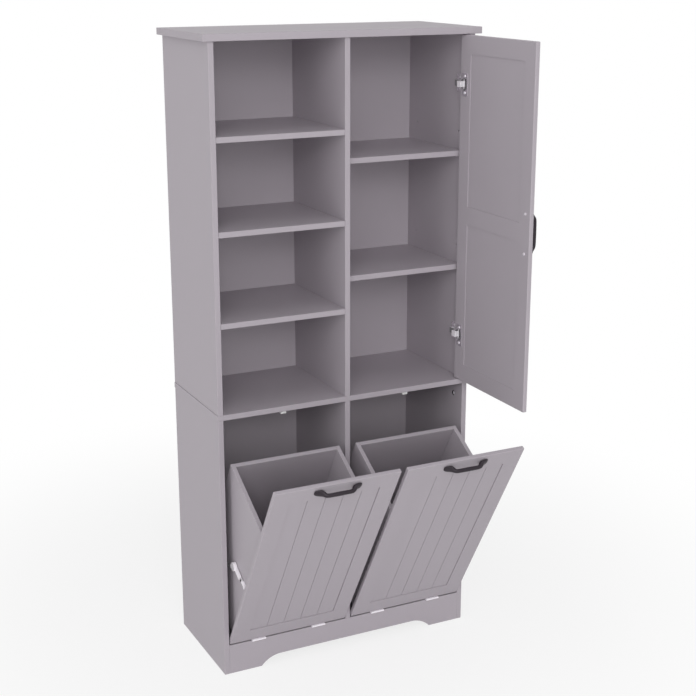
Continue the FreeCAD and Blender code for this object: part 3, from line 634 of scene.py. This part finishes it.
# %% The shade of a face, from 0 for bright to 1 for black
CAP_LEVEL = 362 * MM
TAIL_START = -344 * MM
BODY_FRONT = -310 * MM
FLANGE_DEPTH = 1.6 * MM
# The tails, the hinge bodies inside the cabinet and the cup hollows get painted shade, the arms' fronts are
# darkened a little, and the drum caps are painted grey.
CAP_SHADE = 0.45
TAIL_PAINTED_SHADE = 0.9
BODY_PAINTED_SHADE = 0.8
ARM_SHADE = 0.08
HOLLOW_PAINTED_SHADE = 0.62
SIDEWAYS = 0.9
hollow_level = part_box("door_hinge_cups")[0].x + FLANGE_DEPTH


def shade_stay(face):
    middle = face.calc_center_median()
    # past the drum the tail is painted nearly black, as the shade of the gap it lies in
    if middle.y > TAIL_START:
        return TAIL_PAINTED_SHADE
    on_cap = abs(middle.x) > CAP_LEVEL and abs(face.normal.x) > SIDEWAYS
    return CAP_SHADE if on_cap else 0


def shade_arm(face):
    # the hinge body inside the cabinet gets painted shade, the front of the arm a little
    return BODY_PAINTED_SHADE if face.calc_center_median().y > BODY_FRONT else ARM_SHADE


def shade_cup(face):
    # faces deeper than the flange get painted shade in the cup's hollow
    return HOLLOW_PAINTED_SHADE if face.calc_center_median().x > hollow_level else 0


shadings = {
    "left_stay_arm": shade_stay,
    "right_stay_arm": shade_stay,
    "door_hinge_arms": shade_arm,
    "door_hinge_cups": shade_cup,
}
print("shaded:", ", ".join(shadings))


# %% Cut a fitting where the stay's tail starts, and shade its faces
def shade_faces(mesh, shading):
    everything = mesh.verts[:] + mesh.edges[:] + mesh.faces[:]
    bmesh.ops.bisect_plane(mesh, geom=everything, plane_co=(0, TAIL_START, 0), plane_no=(0, 1, 0))
    mesh.normal_update()
    dark = mesh.faces.layers.float.new("dark")
    for face in mesh.faces:
        face[dark] = shading(face)


# %% Every fitting, with the width of its eased edges
STAMPED = 0.25 * MM
SHEET = 0.12 * MM
FLANGE = 0.4 * MM
fittings = {
    "door_hinge_arms": STAMPED,
    "hinge_mounting_plates": STAMPED,
    "door_hinge_cups": FLANGE,
    "stay_guides": STAMPED,
    "apron_hinge_leaves": SHEET,
}
for hand in ("left", "right"):
    fittings[f"{hand}_front_hinge_leaves"] = SHEET
    fittings[f"{hand}_strike_plate"] = SHEET
    fittings[f"{hand}_stay_pivot"] = SHEET
    fittings[f"{hand}_stay_arm"] = STAMPED


def ease_fitting(name, width):
    mesh = merged(name)
    bevel_sharp_edges(mesh, width)
    if name in shadings:
        shade_faces(mesh, shadings[name])
    piece = finish_piece(mesh, "eased", name)
    steady = piece.modifiers.new("steady shading", "WEIGHTED_NORMAL")
    steady.keep_sharp = True


for name, width in fittings.items():
    ease_fitting(name, width)
print(len(fittings), "fittings eased")

# %% [markdown]
# ## Shade plugs in the stays
# A near-black plug in the slot of each stay's strip paints the shadow that the slot shows. It starts
# as a cube that fills the slot. Its outer face is extruded twice, first sideways and then out, so
# that a head lies on the strip, and the head is bevelled.

# %% One shade plug in each stay's slot
SHADE_PLUG_PLACE = 25.5 * MM
SHADE_PLUG_SLOPE = math.radians(29.7)
SHADE_PLUG_SIZE = Vector((2.0, 4.3, 9.3)) * MM
SHADE_PLUG_OVERLAP = Vector((1, 1.3, 1.15))
SHADE_PLUG_HEAD = 0.6 * MM
STRIP_MIDDLE = 353.1 * MM


def make_slot_shade_plug(hand, side):
    mesh = bmesh.new()
    bmesh.ops.create_cube(mesh, size=1)
    bmesh.ops.scale(mesh, vec=SHADE_PLUG_SIZE, verts=mesh.verts[:])
    outer = [face for face in mesh.faces if face.normal.x * side > SIDEWAYS]
    for spread, rise in ((SHADE_PLUG_OVERLAP, 0), (Vector((1, 1, 1)), SHADE_PLUG_HEAD)):
        made = bmesh.ops.extrude_face_region(mesh, geom=outer)["geom"]
        bmesh.ops.delete(mesh, geom=outer, context="FACES_ONLY")
        outer = only(made, bmesh.types.BMFace)
        rim = only(made, bmesh.types.BMVert)
        bmesh.ops.scale(mesh, vec=spread, verts=rim)
        bmesh.ops.translate(mesh, vec=(side * rise, 0, 0), verts=rim)
    bevel(mesh, outer[0].edges[:], SHADE_PLUG_HEAD / 2)
    pivot = Vector(joints[f"{hand}_stay_pivot_turn"]["pos_m"])
    along = Vector((0, math.cos(SHADE_PLUG_SLOPE), math.sin(SHADE_PLUG_SLOPE)))
    place = Vector((side * STRIP_MIDDLE, pivot.y, pivot.z)) + along * SHADE_PLUG_PLACE
    seat = Matrix.Translation(place) @ Matrix.Rotation(SHADE_PLUG_SLOPE, 4, "X")
    bmesh.ops.transform(mesh, matrix=seat, verts=mesh.verts[:])
    name, body = f"{hand}_stay_shade_plug", f"{hand}_stay"
    return add_piece(mesh, name, slot_shade_black, body, smooth=False)


for hand, side in (("left", -1), ("right", 1)):
    shade_plug = make_slot_shade_plug(hand, side)
    print(shade_plug.name, "has", len(shade_plug.data.polygons), "faces")

# %% [markdown]
# ## The room
# The object stands on a pale floor in plain studio light. The background is white only to the
# camera and in reflections, so it adds no light to the object. The floor fades to that white with
# distance, and keeps the soft shadow close to the cabinet.

# %% Floor
FLOOR_REACH = 70
FADE_START, FADE_END = 0.5, 1.9
NEAR_WHITE, FAR_WHITE = 0.78, 1.0


def make_floor_finish():
    finish = Finish("pale_floor")
    finish.set(Base_Color=srgb(242, 242, 242), Roughness=0.8)
    seen = finish.node("ShaderNodeLightPath", output="Is Camera Ray")
    mirrored = finish.node("ShaderNodeLightPath", output="Is Glossy Ray")
    length = finish.node("ShaderNodeVectorMath", {"operation": "LENGTH"}, {0: finish.place},
                         output="Value")
    fade = {"Value": length, "From Min": FADE_START, "From Max": FADE_END,
            "To Min": NEAR_WHITE, "To Max": FAR_WHITE}
    far = finish.node("ShaderNodeMapRange", {"interpolation_type": "SMOOTHSTEP"}, fade)
    white = finish.node("ShaderNodeEmission", inputs={"Strength": 1.0})
    mix = finish.node("ShaderNodeMixShader", inputs={0: (seen + mirrored) * far, 2: white})
    finish.tree.links.new(finish.surface.outputs[0], mix.socket.node.inputs[1])
    finish.tree.links.new(mix.socket, finish.output.inputs[0])
    return finish.material


def make_floor():
    mesh = bmesh.new()
    bmesh.ops.create_grid(mesh, x_segments=1, y_segments=1, size=FLOOR_REACH)
    data = bpy.data.meshes.new("floor")
    mesh.to_mesh(data)
    mesh.free()
    floor = bpy.data.objects.new("floor", data)
    bpy.context.collection.objects.link(floor)
    data.materials.append(make_floor_finish())


make_floor()
print("the floor reaches", FLOOR_REACH, "metres each way")

# %% World
AMBIENT = 0.4
world = bpy.data.worlds.new("studio")
world.use_nodes = True
tree = world.node_tree
background = tree.nodes["Background"]
path = tree.nodes.new("ShaderNodeLightPath")
shown = tree.nodes.new("ShaderNodeMath")
shown.operation = "MAXIMUM"
tree.links.new(path.outputs["Is Camera Ray"], shown.inputs[0])
tree.links.new(path.outputs["Is Glossy Ray"], shown.inputs[1])
level = tree.nodes.new("ShaderNodeMapRange")
level.inputs["To Min"].default_value = AMBIENT
level.inputs["To Max"].default_value = 1.0
tree.links.new(shown.outputs[0], level.inputs["Value"])
tree.links.new(level.outputs[0], background.inputs["Strength"])
background.inputs["Color"].default_value = (1, 1, 1, 1)
bpy.context.scene.world = world
print("the world lights the object at", AMBIENT)

# %% Lamps: place, side in metres, power in watts
LAMPS = {
    "high key": ((-3.6, -7.0, 5.2), 4.0, 162),
    "front key": ((-2.0, -8.1, 3.2), 3.6, 162),
    "left fill": ((-7.5, -1.7, 2.0), 4.2, 94),
    "above": ((0.0, -1.5, 7.0), 4.0, 32),
}
LAMP_AIM = Vector((0, -0.2, 0.9))
for name, (place, side, power) in LAMPS.items():
    light = bpy.data.lights.new(name, "AREA")
    light.shape = "SQUARE"
    light.size = side
    light.energy = power
    lamp = bpy.data.objects.new(name, light)
    lamp.location = place
    lamp.rotation_euler = (LAMP_AIM - Vector(place)).to_track_quat("-Z", "Y").to_euler()
    bpy.context.collection.objects.link(lamp)
print("lamps:", ", ".join(LAMPS))

# %% [markdown]
# ## The camera
# The camera stands front-left and a little above the middle, as in the photograph. Its numbers were
# fitted to the straight edges of the cabinet, so the lens is worked out from pixels.

# %% Camera
FRAME_PIXELS = 696
FOCAL_PIXELS = 1361.96
PRINCIPAL_ROW = 344.69
SENSOR = 36
AZIMUTH = math.radians(-26.529)
ELEVATION = math.radians(16.090)
DISTANCE = 3.8994
TARGET = Vector((0.0778, -0.1816, 0.8617))
FAR_CLIP = 200
camera_data = bpy.data.cameras.new("camera")
camera_data.sensor_fit = "HORIZONTAL"
camera_data.sensor_width = SENSOR
camera_data.lens = FOCAL_PIXELS * SENSOR / FRAME_PIXELS
camera_data.shift_y = (PRINCIPAL_ROW - FRAME_PIXELS / 2) / FRAME_PIXELS
camera_data.clip_end = FAR_CLIP
camera = bpy.data.objects.new("camera", camera_data)
reach = DISTANCE * math.cos(ELEVATION)
height = DISTANCE * math.sin(ELEVATION)
offset = Vector((reach * math.sin(AZIMUTH), -reach * math.cos(AZIMUTH), height))
camera.location = TARGET + offset
camera.rotation_euler = (-offset).to_track_quat("-Z", "Y").to_euler()
bpy.context.collection.objects.link(camera)
bpy.context.scene.camera = camera
bpy.context.scene.view_settings.view_transform = "Standard"
print("camera at", [round(v, 3) for v in camera.location])

# %% [markdown]
# ## Finish
# The view layer is updated once more, so that every piece stands in its final place.

# %% Finish
bpy.context.view_layer.update()
